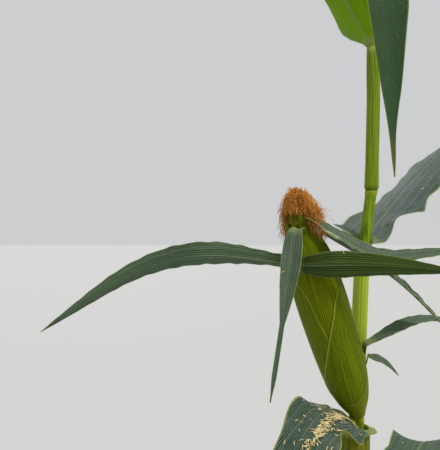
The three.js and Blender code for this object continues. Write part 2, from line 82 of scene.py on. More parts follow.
# Leaves from the foot up, with the heights of node and ligule, and a tone from green, 0, to slate, 1
LEAF_KEYS = "node ligule length width facing turn rise fall bend spread roll pouch cup tone".split()
LEAVES = [dict(zip(LEAF_KEYS, row)) for row in (
    (110, 205, 420, 48, 222, 16, 52, -62, 0.42, 0.7, (0, -8), 0, 34, 0.3),
    (220, 330, 560, 62, 46, -22, 56, -66, 0.44, 0.7, (0, 12), 0, 34, 0.5),
    (345, 470, 680, 76, 214, -30, 44, -64, 0.4, 0.6, (0, -14), 0, 34, 0.4),
    (490, 618, 740, 86, 42, 24, 36, -64, 0.36, 0.6, (0, 10), 0, 34, 0.6),
    (655, 800, 720, 94, 250, -38, 23, -66, 0.19, 0.24, (22, -40), 6.4, 20, 0.75),
    (865, 1007, 790, 94, 58, -6, 23, -56, 0.66, 0.5, (-2, 14), 0, -34, 1.0),
    (1068, 1231, 642, 80, 215, 66, 42, -83, 0.447, 0.17, (-5, 0), 0, 34, 0.35),
    (1270, 1410, 680, 78, 40, 20, 58, -58, 0.46, 0.6, (0, -12), 0, 34, 0.5),
    (1445, 1570, 580, 66, 224, -24, 60, -48, 0.5, 0.7, (0, 12), 0, 34, 0.3),
    (1600, 1715, 460, 54, 44, -20, 62, -36, 0.55, 0.7, (0, -8), 0, 34, 0.4),
    (1740, 1850, 340, 40, 226, 18, 66, -20, 0.6, 0.7, (0, 6), 0, 34, 0.3),
)]
SHEATH_WRAP, LEAF_STRIPS, CLEARANCE, SHEATH_WALL, SHEATH_OUT, SHEATH_CLOSED = 165, 8, 0.3, 0.8, 1.2, 179.6
BLADE_WALL, COLLAR_WALL, RIB_WALL = 0.5, 0.9, 0.0048
# How light the skin of the lower sheaths is: up to 0.7 a painted sunlight, on the sixth beside the ear; over
# 0.8 how brown, dry brown on the lowest four and painted shade on the fifth under its blade; the upper ones
# are a fresh green
SHEATH_PAINTED_LIGHT_AND_BROWN, FRESH = {1: 0.9, 2: 0.88, 3: 0.86, 4: 0.86, 5: 0.93, 6: 0.68}, 0.06

# A blade leaves the stalk steeply, opens, flares and flattens, by these lengths from the ligule
COLLAR, OPENS_BY, LEAVING, LEVELLING, FLARES, FLATTENS = 40, 7, 16, 64, 20, 34
LEAVING_SLOPE, MOUTH_CUP, LEAF_FOOT, LEAF_WIDEST, TURN_BY = 88, 105, 0.74, 0.38, 0.4
LEAF_WAVE, WAVES_PER_LEAF, CALM = 0.085, 4.5, 0.3

# Share along the blade, then how far out the margin is, lifted and let down, for its left and its right side
HANGING_END = [(0.76, 1, 0, 0), (0.81, 1.24, 0, 0), (0.86, 1.31, 0, 0), (0.9, 1.26, 0, 0), (0.95, 0.77, 0, 0)]
MARGINS = {
    5: ([(0, 1, 0, 0), (0.008, 0.5, 0, 8), (0.022, 0.42, 0, 14), (0.05, 0.74, -22, 0), (0.08, 0.5, -17, 0),
         (0.11, 0.32, -12, 0), (0.15, 0.3, -10, 0), (0.18, 0.46, -5, 0), (0.21, 0.78, 0, 0), (0.3, 1, 0, 0)],
        [(0, 1, 0, 0), (0.02, 0.8, 0, -3), (0.05, 0.8, 2, 0), (0.08, 0.85, -4, 0), (0.11, 1, -5, 0),
         (0.13, 1, 0, 0), (0.15, 1, 9, 0), (0.165, 1, 8, 0), (0.18, 0.95, 4, 0), (0.21, 0.72, 8, 0),
         (0.25, 0.6, 8, 0), (0.31, 0.8, 3, 0), (0.4, 1, 0, 0)]),
    6: ([(0, 1, 0, 0), (0.01, 1.12, 0, -3), (0.02, 1.15, 5, -5), (0.03, 1.2, 11, -4), (0.045, 1.2, 16, -2),
         (0.07, 1.12, 18, 0), (0.1, 0.9, 10, 0), (0.13, 0.7, 0, 0), (0.17, 0.66, -2, 0), (0.23, 0.62, 0, 0),
         (0.26, 0.62, 2, 0), (0.29, 0.64, 4, 0), (0.34, 0.63, 3, 0), (0.38, 0.66, 0, 0), (0.42, 0.8, 0, 0),
         (0.46, 0.9, 0, 0), (0.5, 0.95, 3, 0), (0.6, 1, 0, 0)],
        [(0, 1, 0, 0), (0.01, 0.8, 0, 8), (0.02, 0.6, 0, 13), (0.03, 0.62, 0, 9), (0.042, 0.66, 0, 2),
         (0.055, 0.62, 5, 0), (0.07, 0.66, 8, 0), (0.1, 0.8, 5, 0), (0.13, 0.92, 0, 0), (0.155, 1, -4, 0),
         (0.17, 0.92, -2, 0), (0.19, 0.88, 2, 0), (0.23, 1, 0, 0)]),
    7: ([(0, 1, 0, 0), *HANGING_END],
        [(0, 1, 0, 0), (0.011, 2.1, 0, 9), (0.025, 2.15, 0, 12), (0.039, 1.7, 0, 10), (0.055, 1.25, 0, 4),
         (0.09, 1, 0, 0), *HANGING_END]),
}
MARGIN_EASE = 0.008

# Ear, with the radius of its husk by the share of its length
EAR_FOOT = np.array((17.0, -25, 819))
EAR_TIP = np.array((-58.0, -85, 1030))
RIBS_ROUND_EAR, RIPPLES_ROUND_EAR = 80, 31
HUSK_RADIUS = [
    (0, 7), (0.05, 14), (0.12, 20), (0.2, 23.8), (0.3, 25.5), (0.4, 26.6), (0.5, 27.2), (0.6, 27.4),
    (0.74, 26.6), (0.86, 22.5), (0.95, 15.5), (1, 9.5),
]
# Outer husk leaves: share up the ear, then the angles of the left and of the right margin
OUTER_HUSKS = {
    "husk_left": [
        (0.03, -178, -90), (0.12, -176, -84), (0.21, -173, -76), (0.3, -170, -46), (0.39, -167, -26),
        (0.46, -165, -12), (0.5, -163, -15), (0.58, -161, -22), (0.67, -158, -27), (0.74, -154, -40),
        (0.77, -152, -56), (0.93, -140, -100),
    ],
    "husk_right": [(0.03, 100, 176), (0.22, 101, 180), (0.5, 84, 186), (0.7, 92, 180), (0.86, 118, 150)],
    "husk_front": [
        (0.112, -24, 2), (0.12, -38, 14), (0.135, -53, 26), (0.155, -74, 42), (0.18, -86, 57),
        (0.21, -88, 68), (0.25, -73, 75), (0.3, -55, 76), (0.39, -33, 76), (0.48, -13, 74), (0.53, -2, 72),
        (0.58, 10, 69), (0.64, 23, 63), (0.68, 39, 59), (0.7, 55, 58),
    ],
}
# How far each stands out from the ear, and how green it is
OUTER_HUSK_LAYERS = {"husk_front": (0.0, 0.95), "husk_left": (-0.5, 0.5), "husk_right": (-0.5, 0.7)}
# Inner husks: angle of the middle, spread to each side, and share of the tip
HUSK_TIPS = [(-150, 44, 1.04), (150, 44, 1.03), (-75, 46, 1.05), (78, 46, 1.045), (22, 40, 1.06),
             (-28, 34, 1.03)]
SHANK_RADIUS, SHANK_CLEAR, SHANK_BESIDE, SHANK_FACING = 4.2, 1.1, (702, 750, 799), 254

# Husk blades: where on the ear they begin, then the same values as a leaf's. Tail is a thread's share.
BLADE_KEYS = "share angle length width facing turn rise fall bend spread roll tail".split()
HUSK_BLADES = {name: dict(zip(BLADE_KEYS, row)) for name, row in {
    "blade_front": (0.99, 4, 176, 22, 240, -36, 4, -80, 0.06, 0.14, (0, 62), 0.36),
    "blade_crossing": (0.85, -56, 168, 28, 322, 34, 2, -5, 0.5, 0.6, (84, 78), 0),
    "blade_left": (0.84, -104, 262, 28, 196, -10, 8, -34, 0.45, 0.7, (-50, -66), 0),
    "blade_right_upper": (1.03, 50, 200, 22, -10, 22, -31, 6, 0.42, 0.34, (-24, -40), 0),
    "blade_right_back": (0.93, 100, 200, 30, 8, 6, -30, -44, 0.5, 0.6, (-12, -26), 0),
    "blade_low_rising": (0.34, 96, 150, 15, 4, 16, 26, -20, 0.5, 0.8, (-40, -30), 0),
    "blade_low_falling": (0.28, 98, 40, 11, -4, -10, -14, -48, 0.5, 0.8, (-40, -30), 0),
}.items()}
HUSK_BLADE_CUP, HUSK_BLADE_WIDEST, HUSK_BLADE_LIFT = 30, 0.3, 3.2
HUSK_BLADE_FOOT, HUSK_BLADE_FEET = 0.5, {"blade_left": 0.62}
HUSK_BLADE_TONE, HUSK_BLADE_TONES = 0.9, {"blade_crossing": 0.0, "blade_left": 0.75}

# Silk and tassel
SILK_THREADS, SILK_ROOTS, SPIKELET, ANTHER = 1500, 170, (9, 2.6, 2.2), (5.4, 1.1, 1.0)
TASSEL_TOP, TASSEL_BRANCHES, TASSEL_FIRST, TASSEL_LAST = 2250, 14, 2012, 2108

# Fallen anthers: how many lie in a leaf's trough and elsewhere on it, and where they lie on the husk blades
FALLEN = {5: (230, 230), 6: (0, 12), 4: (0, 40), 7: (0, 8), 3: (10, 24)}
FALLEN_ON_HUSK = {"blade_crossing": [(0.34, 0.7), (0.36, 0.1), (0.62, -0.3)], "blade_front": [(0.3, 0.4)]}

# Room: lamps with their turn, strength, softness and colour
LAMPS = {"key": ((43, 10, 38), 2.15, 9, (1, 0.95, 0.82)), "back": ((-50, 14, 24), 1.5, 16, (1, 0.97, 0.9))}
SKY, SKY_STRENGTH, FLOOR_SIZE, FLOOR = (0.64, 0.65, 0.66, 1), 0.95, 60, (0.455, 0.462, 0.48, 1)
CAMERA, LENS = (-0.135, -0.690, 1.028), 48.4


def lerp(a, b, share):
    return a + (b - a) * share


def smooth(x):
    t = min(max(x, 0.0), 1.0)
    return t * t * (3 - 2 * t)


def look_up(table, place, reach=0.0):
    """Values from a table, straight between its rows, or rounded over the reach on both sides."""
    table = np.array(table, float)
    places = place + reach * np.linspace(-1, 1, 9) if reach else np.array([place])
    return [float(np.mean(np.interp(places, table[:, 0], column))) for column in table[:, 1:].T]


def stalk_middle(z):
    return np.array((*look_up(CENTRE_LINE, z), z))


def stalk_radius(z):
    return look_up(STALK_RADIUS, z)[0]


def direction(heading, pitch):
    level = cos(pitch)
    return np.array((level * cos(heading), level * sin(heading), sin(pitch)))


def lengths_along(places):
    """How far along their line each of the places is."""
    return np.concatenate([[0], np.cumsum(np.linalg.norm(np.diff(places, axis=0), axis=1))])


def on_line(places, gone, distance):
    return np.array([np.interp(distance, gone, column) for column in places.T])


def through(places, count):
    """Evenly spread places on a smooth curve through the given ones."""
    p = np.array([2 * places[0] - places[1], *places, 2 * places[-1] - places[-2]], float)
    knots = np.concatenate([[0], np.cumsum(np.sqrt(np.linalg.norm(np.diff(p, axis=0), axis=1)))])
    found = []
    for i in range(1, len(p) - 2):
        k = knots[i - 1:i + 3]
        for t in np.linspace(k[1], k[2], 24, endpoint=i == len(p) - 3):
            a = [lerp(p[i - 1 + j], p[i + j], (t - k[j]) / (k[j + 1] - k[j])) for j in range(3)]
            b = [lerp(a[j], a[j + 1], (t - k[j]) / (k[j + 2] - k[j])) for j in range(2)]
            found.append(lerp(b[0], b[1], (t - k[1]) / (k[2] - k[1])))
    found = np.array(found)
    gone = lengths_along(found)
    return np.array([on_line(found, gone, distance) for distance in np.linspace(0, gone[-1], count)])


# Meshes

def start_fresh():
    if bpy.context.object and bpy.context.object.mode != "OBJECT":
        bpy.ops.object.mode_set(mode="OBJECT")
    bpy.ops.object.select_all(action="DESELECT")


def brought_in(name, data):
    """A new object, selected alone."""
    start_fresh()
    piece = bpy.data.objects.new(name, data)
    bpy.context.collection.objects.link(piece)
    piece.select_set(True)
    bpy.context.view_layer.objects.active = piece
    return piece


def name_piece(name):
    piece = bpy.context.object
    piece.name = piece.data.name = name
    return piece


def tell_places(piece, values):
    """Says of each corner where on the plant it is, for the finishes to read."""
    layer = piece.data.attributes.new("place", "FLOAT_VECTOR", "POINT")
    layer.data.foreach_set("vector", np.array(values, np.float32).ravel())


def marks(across, along, kind):
    """What one row's corners say of their place: how far across and along, and a value of the whole leaf."""
    return np.column_stack([across, np.full(len(across), along), np.full(len(across), kind)])


def laid_grid(name, rows, places, edges=None):
    """A grid primitive whose corners are laid along the given rows."""
    rows = np.array(rows, float)
    lengthwise, crosswise = rows.shape[0] - 1, rows.shape[1] - 1
    start_fresh()
    bpy.ops.mesh.primitive_grid_add(x_subdivisions=crosswise, y_subdivisions=lengthwise, size=1)
    piece = name_piece(name)
    piece.data.vertices.foreach_set("co", (rows * MM).ravel())
    tell_places(piece, places)
    if edges is not None:
        layer = piece.data.attributes.new("edge", "FLOAT", "POINT")
        layer.data.foreach_set("value", np.array(edges, np.float32).ravel())
    piece.data.update()
    return piece


def walled(piece, walls):
    """Gives a sheet its wall, on the under side, and marks that side."""
    count = len(piece.data.vertices)
    walls = np.array(walls, float).ravel()
    group = piece.vertex_groups.new(name="wall")
    for k, share in enumerate(walls / walls.max()):
        group.add([k], float(share), "REPLACE")
    modifier = piece.modifiers.new("wall", "SOLIDIFY")
    modifier.thickness = walls.max() * MM
    modifier.offset = -1
    modifier.vertex_group = "wall"
    bpy.ops.object.modifier_apply(modifier=modifier.name)
    piece.vertex_groups.clear()
    place = piece.data.attributes["place"].data
    for k in range(count, len(place)):
        place[k].vector[2] += 1
    bpy.ops.object.shade_smooth()
    return piece


def closed_tube(piece):
    """Joins the seam of a grid that was wrapped round, and closes its two ends."""
    bpy.ops.object.mode_set(mode="EDIT")
    bpy.ops.mesh.select_all(action="SELECT")
    bpy.ops.mesh.remove_doubles(threshold=1e-6)
    bpy.ops.mesh.select_all(action="DESELECT")
    bpy.ops.mesh.select_non_manifold(extend=False)
    bpy.ops.mesh.edge_face_add()
    bpy.ops.mesh.select_all(action="SELECT")
    bpy.ops.mesh.normals_make_consistent(inside=False)
    bpy.ops.object.mode_set(mode="OBJECT")
    bpy.ops.object.shade_smooth_by_angle(angle=radians(50))
    return piece


def threads(name, paths, sides=0):
    """One piece of many threads, each a list of places with the radius at each."""
    curve = bpy.data.curves.new(name, "CURVE")
    curve.dimensions = "3D"
    curve.bevel_depth = MM
    curve.bevel_resolution = sides
    curve.use_fill_caps = True
    for places, radii in paths:
        spline = curve.splines.new("POLY")
        spline.points.add(len(places) - 1)
        points = np.column_stack([np.array(places) * MM, np.ones(len(places))])
        spline.points.foreach_set("co", points.ravel())
        spline.points.foreach_set("radius", np.array(radii, float))
    brought_in(name, curve)
    bpy.ops.object.convert(target="MESH")
    bpy.ops.object.shade_smooth()
    return name_piece(name)


def strewn(name, model, places, forwards, ups, sizes, shades):
    """One piece of many copies of a small model, which points along +X with its top along +Z."""
    count = len(model.data.vertices)
    corners = np.empty(count * 3)
    model.data.vertices.foreach_get("co", corners)
    corners = corners.reshape(-1, 3)
    faces = [tuple(face.vertices) for face in model.data.polygons]
    forwards = forwards / np.linalg.norm(forwards, axis=1)[:, None]
    aside = np.cross(ups, forwards)
    aside = aside / np.linalg.norm(aside, axis=1)[:, None]
    ups = np.cross(forwards, aside)
    turned = (corners[None, :, 0, None] * forwards[:, None] + corners[None, :, 1, None] * aside[:, None]
              + corners[None, :, 2, None] * ups[:, None])
    laid = places[:, None] * MM + turned * sizes[:, None, None]
    mesh = bpy.data.meshes.new(name)
    all_faces = [tuple(v + k * count for v in face) for k in range(len(places)) for face in faces]
    mesh.from_pydata(laid.reshape(-1, 3).tolist(), [], all_faces)
    piece = brought_in(name, mesh)
    tell_places(piece, np.repeat(np.column_stack([shades, shades, shades]), count, axis=0))
    bpy.ops.object.shade_smooth()
    return piece


def fit(piece, slot, finish, *nodes):
    """Rides a finished piece on the plant in place of its solids."""
    piece.data.materials.clear()
    piece.data.materials.append(finish)
    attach(piece, "root")
    if nodes:
        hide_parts(*nodes)


# Finishes

def colour(red, green, blue):
    """A colour given as it shows on a screen, from 0 to 255."""
    def linear(value):
        value /= 255
        return value / 12.92 if value <= 0.04045 else ((value + 0.055) / 1.055) ** 2.4
    return (linear(red), linear(green), linear(blue), 1.0)


class Finish:
    """A material's nodes, with short calls for those that the plant's finishes share."""

    def __init__(self, name, roughness, specular=0.4):
        self.material = bpy.data.materials.new(name)
        self.material.use_nodes = True
        self.tree = self.material.node_tree
        self.shader = self.tree.nodes["Principled BSDF"]
        self.shader.inputs["Roughness"].default_value = roughness
        self.shader.inputs["Specular IOR Level"].default_value = specular

    def node(self, kind, values=(), **settings):
        node = self.tree.nodes.new("ShaderNode" + kind)
        for name, value in settings.items():
            setattr(node, name, value)
        for socket, value in values:
            self.feed(node.inputs[socket], value)
        return node

    def feed(self, socket, value):
        if isinstance(value, bpy.types.NodeSocket):
            self.tree.links.new(value, socket)
        else:
            socket.default_value = value

    def place(self):
        """Where on its piece a point is: three values that the mesh holds."""
        attribute = self.node("Attribute", attribute_name="place")
        return self.node("SeparateXYZ", [(0, attribute.outputs["Vector"])]).outputs

    def edge(self):
        """How near to its leaf's margin a point is, which the mesh holds too."""
        return self.node("Attribute", attribute_name="edge").outputs["Fac"]

    def stretched(self, vector, scale):
        return self.node("Mapping", [(0, vector), (3, scale)]).outputs[0]

    def position(self, stretch=(1, 1, 1)):
        return self.stretched(self.node("TexCoord").outputs["Object"], stretch)

    def vector(self, x, y, z):
        return self.node("CombineXYZ", [(0, x), (1, y), (2, z)]).outputs[0]

    def math(self, operation, a, b=0.0):
        return self.node("Math", [(0, a), (1, b)], operation=operation).outputs[0]

    def times(self, a, b):
        return self.math("MULTIPLY", a, b)

    def plus(self, a, b):
        return self.math("ADD", a, b)

    def within(self, value, low, high, first=0.0, last=1.0):
        """Goes from first to last as the value goes from low to high, eased at both ends."""
        sockets = [(0, value), (1, low), (2, high), (3, first), (4, last)]
        return self.node("MapRange", sockets, interpolation_type="SMOOTHSTEP").outputs[0]

    def ease(self, value, first, last):
        return self.within(value, 0.0, 1.0, first, last)

    def noise(self, vector, scale, detail=2.0, roughness=0.5):
        sockets = [("Vector", vector), ("Scale", scale), ("Detail", detail), ("Roughness", roughness)]
        return self.node("TexNoise", sockets).outputs[0]

    def mix(self, share, a, b, kind="MIX"):
        node = self.node("Mix", data_type="RGBA", blend_type=kind)
        for socket, value in ((0, share), (6, a), (7, b)):
            self.feed(node.inputs[socket], value)
        return node.outputs[2]

    def lay(self, under, over, share, most=None):
        """Lays a colour over another where the share says so, and at most this much."""
        return self.mix(share if most is None else self.times(share, most), under, over)

    def deepen(self, under, tint, share, most=None):
        """Lays a tint's deeper tone of a colour over it."""
        return self.lay(under, self.mix(1.0, under, (*tint, 1), "MULTIPLY"), share, most)

    def colour(self, value):
        self.feed(self.shader.inputs["Base Color"], value)

    def roughness(self, value):
        self.feed(self.shader.inputs["Roughness"], value)

    def relief(self, height, distance, strength=1.0):
        bump = self.node("Bump", [("Height", height), ("Distance", distance), ("Strength", strength)])
        self.feed(self.shader.inputs["Normal"], bump.outputs[0])
        return bump.outputs[0]

    def glow(self, share, tint, normal):
        """Lets light from behind through a thin leaf."""
        through_leaf = self.node("BsdfTranslucent", [("Color", tint), ("Normal", normal)]).outputs[0]
        both = self.node("MixShader", [(0, share), (1, self.shader.outputs[0]), (2, through_leaf)])
        self.tree.links.new(both.outputs[0], self.tree.nodes["Material Output"].inputs["Surface"])


FINE_RELIEF, RIB_RELIEF, GRAIN_RELIEF = 0.0007, 0.0009, 0.0003


def leaf_finish(name, green, slate, pale, back, back_pale, rib, margin, veins, thin, pale_foot, young_and_backlit_foot):
    """A blade: fine veins along it, a midrib, a bloom in patches, and a thin pale margin and collar."""
    f = Finish(name, 0.5, 0.11)
    across, along, kind = f.place()
    below = f.within(kind, 0.45, 0.6)
    tone = f.times(f.math("FRACT", kind), 3.3)
    on_blade = f.vector(across, along, f.math("FLOOR", kind))

    # Veins that wander and break, with a bold one now and then, streaks along them, and patches
    wander = f.noise(f.stretched(on_blade, (3, 16, 1)), 1.0, 3.0)
    line = f.math("SINE", f.plus(f.times(across, pi * veins), f.times(wander, 2.2)))
    bold = f.within(f.math("SINE", f.times(across, pi * veins / 5)), 0.7, 1.0)
    broken = f.within(f.noise(f.stretched(on_blade, (30, 46, 1)), 1.0, 2.0), 0.36, 0.62)
    fine = f.times(f.within(line, 0.0, 0.95), f.ease(broken, 0.55, 1.0))
    vein = f.math("MAXIMUM", fine, f.times(bold, 0.45))
    between = f.times(f.within(line, 0.0, -0.9), f.ease(tone, 0.5, 0.7))
    streak = f.within(f.noise(f.stretched(on_blade, (22, 4, 1)), 1.0, 4.0, 0.65), 0.32, 0.68)
    patch = f.within(f.noise(f.position(), 24.0, 4.0, 0.6), 0.36, 0.64)
    bloom = f.times(f.within(patch, 0.7, 0.0), f.within(tone, 0.85, 1.0, 0.0, 0.45))
    fleck = f.within(f.noise(f.position(), 520.0, 2.0), 0.6, 0.7)

    pale = f.mix(tone, f.mix(0.62, pale, green), pale)
    face = f.deepen(f.mix(tone, green, slate), (0.5, 0.55, 0.45), patch, 0.55)
    face = f.lay(face, pale, streak, f.ease(tone, 0.08, 0.18))
    face = f.lay(face, colour(92, 99, 128), bloom)
    face = f.deepen(face, (0.45, 0.48, 0.5), between)
    face = f.lay(face, pale, vein, f.ease(tone, 0.26, 0.85))
    face = f.lay(face, colour(176, 182, 150), fleck, 0.22)
    under = f.deepen(back, (0.55, 0.6, 0.5), patch, 0.5)
    under = f.deepen(under, (0.5, 0.55, 0.45), between)
    under = f.lay(under, back_pale, vein, 0.6)
    alike = f.times(f.within(tone, 0.5, 0.7), 1.0 - young_and_backlit_foot)
    body = f.mix(below, face, f.lay(under, face, alike))

    # Young green with a painted backlit glow at the foot, the midrib, the margin, the collar and the joint,
    # and the dry tip
    # Painted backlight: a lime foot on the greener blades stands for sun shining through the blade's foot,
    # over its young green
    young_and_backlit = f.times(f.within(along, 0.36, 0.03), f.within(tone, 0.5, 0.3))
    body = f.lay(body, colour(150, 190, 0), young_and_backlit, young_and_backlit_foot)
    rib_edge = f.within(along, 0.0, 0.7, 0.075, 0.02)
    on_rib = f.within(f.math("ABSOLUTE", across), rib_edge, f.times(rib_edge, 0.4))
    rib_shows = f.times(f.within(along, 0.75, 0.05, 0.15, 0.75), f.within(tone, 0.0, 0.5, 0.4, 1.0))
    body = f.lay(body, rib, on_rib, f.times(rib_shows, f.within(tone, 0.98, 0.85, 0.25, 1.0)))
    edge = f.edge()
    body = f.lay(body, margin, f.within(edge, 0.94, 0.985), 0.75)
    collar = f.times(f.within(along, pale_foot, pale_foot * 0.4), f.within(edge, -1.5, 0.6))
    shown = f.math("SUBTRACT", 0.7, f.times(f.times(alike, below), 0.6))
    body = f.lay(body, margin, collar, f.times(shown, f.within(tone, 0.98, 0.8, 0.5, 1.0)))
    body = f.lay(body, colour(116, 134, 18), f.within(along, 0.004, -0.008), 0.85)
    tip = f.within(f.plus(along, f.times(f.math("ABSOLUTE", wander), 0.03)), 0.955, 1.0)
    f.colour(f.lay(body, colour(150, 132, 76), tip, 0.7))

    f.roughness(f.ease(streak, 0.6, 0.42))
    grain = f.noise(f.position(), 900.0, 2.0)
    bumped = f.relief(f.plus(f.times(vein, 0.8), f.times(grain, 0.3)), FINE_RELIEF, 0.7)
    f.shader.inputs["Sheen Weight"].default_value = 0.04
    f.glow(thin, f.mix(vein, colour(150, 196, 16), colour(176, 206, 60)), bumped)
    return f.material


def stalk_finish():
    """The stalk's skin: fine lengthwise ribs, a straw band under each node and a dark line on it."""
    f = Finish("stalk_skin", 0.45, 0.12)
    above_node, brown, _ = f.place()
    long = f.noise(f.position((1, 1, 0.03)), 620.0, 4.0, 0.7)
    cloud = f.within(f.noise(f.position((1, 1, 0.25)), 60.0, 3.0), 0.3, 0.7)
    body = f.mix(cloud, colour(82, 108, 2), colour(110, 136, 10))
    body = f.lay(body, colour(148, 172, 44), f.within(long, 0.46, 0.6), 0.6)
    body = f.lay(body, colour(120, 104, 48), brown)
    band = f.times(f.within(above_node, -9.0, -4.0), f.within(above_node, -0.5, -2.0))
    body = f.lay(body, colour(150, 160, 50), band, 0.6)
    ring = f.times(f.within(above_node, -1.6, -0.4), f.within(above_node, 2.2, 0.8))
    f.colour(f.lay(body, colour(52, 64, 6), ring, 0.6))
    f.roughness(f.within(long, 0.3, 0.8, 0.5, 0.34))
    f.relief(f.plus(long, f.times(cloud, 0.3)), FINE_RELIEF, 0.5)
    return f.material


def sheath_finish():
    """A leaf's sheath: streaked and ribbed, pale at its mouth, and lighter with painted sunlight or browner,
    by dry brown or painted shade, as its light says.
    """
    f = Finish("sheath_skin", 0.48, 0.1)
    across, along, light = f.place()
    light = f.math("FRACT", light)
    rib = f.within(f.math("SINE", f.times(across, pi * 15)), -0.2, 0.9)
    drawn = f.vector(f.times(across, 13.0), f.times(along, 1.6), 0.0)
    streak = f.within(f.noise(drawn, 1.0, 4.0, 0.65), 0.38, 0.6)
    wear = f.within(f.noise(f.position((1, 1, 0.2)), 55.0, 3.0), 0.35, 0.65)
    body = f.mix(wear, colour(80, 104, 2), colour(104, 128, 10))
    body = f.lay(body, colour(140, 164, 40), streak, 0.62)
    body = f.lay(body, colour(132, 156, 34), rib, 0.3)
    # Painted sunlight: a lighter green laid over the sheath beside the ear, and a little of it on the upper
    # sheaths as a fresher green
    body = f.lay(body, colour(180, 206, 66), light, f.within(light, 0.76, 0.7))
    # Brown: dry brown on the lowest sheaths, and painted shade on the sheath under the ear leaf
    body = f.lay(body, colour(92, 74, 12), f.within(light, 0.8, 1.0, 0.0, 0.8))
    body = f.lay(body, colour(166, 178, 84), f.within(along, 0.93, 1.0))
    body = f.lay(body, colour(96, 110, 6), f.within(along, 0.05, 0.0), 0.7)
    margin = f.within(f.math("ABSOLUTE", across), 0.972, 1.0)
    f.colour(f.lay(body, colour(190, 190, 120), margin, f.within(along, 0.7, 1.0, 0.25, 0.7)))
    f.roughness(f.ease(streak, 0.55, 0.4))
    f.relief(f.plus(rib, f.times(streak, 0.7)), FINE_RELIEF, 0.7)
    return f.material


def husk_finish():
    """Husk leaves: fine ribs that run up the ear, with painted highlight on the ribs and painted shade in the
    grooves, yellower inside, greener outside, with pale margins.
    """
    f = Finish("husk_skin", 0.48, 0.05)
    ribs, along, outer = f.place()
    wander = f.times(f.noise(f.vector(f.times(ribs, 24.0), along, 0.0), 2.0), 3.0)
    line = f.math("SINE", f.plus(f.times(ribs, tau * RIBS_ROUND_EAR), wander))
    rib, groove = f.within(line, 0.0, 0.95), f.within(line, 0.1, -0.9)
    drawn = f.vector(f.times(ribs, 80.0), f.times(along, 2.2), 0.0)
    streak = f.within(f.noise(drawn, 1.0, 4.0, 0.7), 0.36, 0.64)
    cloud = f.within(f.noise(f.position(), 30.0, 4.0, 0.6), 0.38, 0.62)
    yellower = f.mix(streak, colour(72, 82, 0), colour(112, 124, 4))
    greener = f.mix(streak, colour(70, 92, 0), colour(112, 134, 8))
    body = f.mix(outer, yellower, greener)
    body = f.lay(body, f.mix(outer, colour(106, 116, 0), colour(82, 108, 0)), cloud, 0.45)
    # Painted shade in the grooves between the ribs, over the husk's own darker stripes
    body = f.deepen(body, (0.42, 0.5, 0.4), groove, f.ease(outer, 0.3, 0.52))
    # Painted highlight on the ribs, over their own paler tone
    body = f.lay(body, f.mix(outer, colour(150, 158, 6), colour(150, 170, 22)), rib, 0.6)
    body = f.lay(body, colour(134, 144, 10), f.within(along, 0.17, 0.04), 0.75)
    margin = f.within(f.edge(), 0.84, 0.95)
    f.colour(f.lay(body, colour(178, 184, 78), margin, f.within(outer, 0.4, 0.9, 0.35, 0.8)))
    f.roughness(f.ease(streak, 0.55, 0.42))
    f.relief(f.plus(rib, f.times(streak, 0.5)), RIB_RELIEF, 0.9)
    return f.material


def silk_finish(name, dark, bright):
    """Threads in small tangles and wider drifts of a darker and a brighter tone."""
    f = Finish(name, 0.6, 0.12)
    tangle = f.within(f.noise(f.position(), 420.0, 3.0, 0.6), 0.3, 0.7)
    drift = f.within(f.noise(f.position(), 60.0, 2.0), 0.35, 0.65)
    f.colour(f.mix(tangle, f.mix(drift, dark, f.mix(0.5, dark, bright)), bright))
    return f.material


def straw_finish(name, dark, bright):
    """Dry straw with a fine grain, whose tone goes from one small body to the next."""
    f = Finish(name, 0.65, 0.25)
    grain = f.within(f.noise(f.position(), 700.0, 3.0), 0.3, 0.7)
    f.colour(f.lay(f.mix(f.place()[0], dark, bright), f.mix(0.5, bright, dark), grain, 0.35))
    f.relief(grain, GRAIN_RELIEF, 0.4)
    return f.material


# Blades by the same rule as the solids

def slope_at(blade, t):
    return lerp(blade["rise"], blade["fall"], smooth((t - blade["bend"]) / blade["spread"] + 0.5))


def heading_at(blade, t):
    return radians(blade["facing"] + blade["turn"] * smooth(t / TURN_BY))


def blade_shape(t, foot, widest):
    if t < widest:
        return foot + (1 - foot) * smooth(t / widest)
    return max(0.0, 1 - ((t - widest) / (1 - widest)) ** 1.35) ** 0.9


def blade_frames(blade, start, stations, first_slope, rolled_by):
    """Walks along the midrib, and gives at each station the place and the row's directions."""
    place, gone, frames = np.array(start, float), 0.0, []
    for station in stations:
        while gone < station:
            step = min(1.0, station - gone)
            gone += step
            t = gone / blade["length"]
            slope = lerp(first_slope, slope_at(blade, t), smooth(gone / LEAVING))
            place = place + direction(heading_at(blade, t), radians(slope)) * step
        t = station / blade["length"]
        heading = heading_at(blade, t)
        side = np.array((sin(heading), -cos(heading), 0))
        row_slope = radians(lerp(first_slope, slope_at(blade, t), smooth(station / LEVELLING)))
        up = np.cross(side, direction(heading, row_slope))
        rolled = smooth(station / rolled_by) if rolled_by else 1.0
        roll = radians(lerp(*blade["roll"], smooth(2 * t)) * rolled)
        across = side * cos(roll) + up * sin(roll)
        normal = up * cos(roll) - side * sin(roll)
        frames.append((place, across, normal, t, station))
    return frames


def row_of(place, across, normal, half, cup, shares, lift):
    """The corners of one row that is bent round the midrib by the angle cup on each side."""
    radius = half / cup
    angle = cup * shares
    return (place + np.outer(radius * np.sin(angle), across)
            + np.outer(radius * (1 - np.cos(angle)) + lift, normal))


def strip_shares(count):
    """Shares across a blade, closer together at the midrib."""
    even = np.linspace(-1, 1, count + 1)
    return even * (0.55 + 0.45 * np.abs(even))


def mouth_radius(z):
    return (stalk_radius(z) + CLEARANCE) / cos(radians(SHEATH_WRAP) / LEAF_STRIPS)


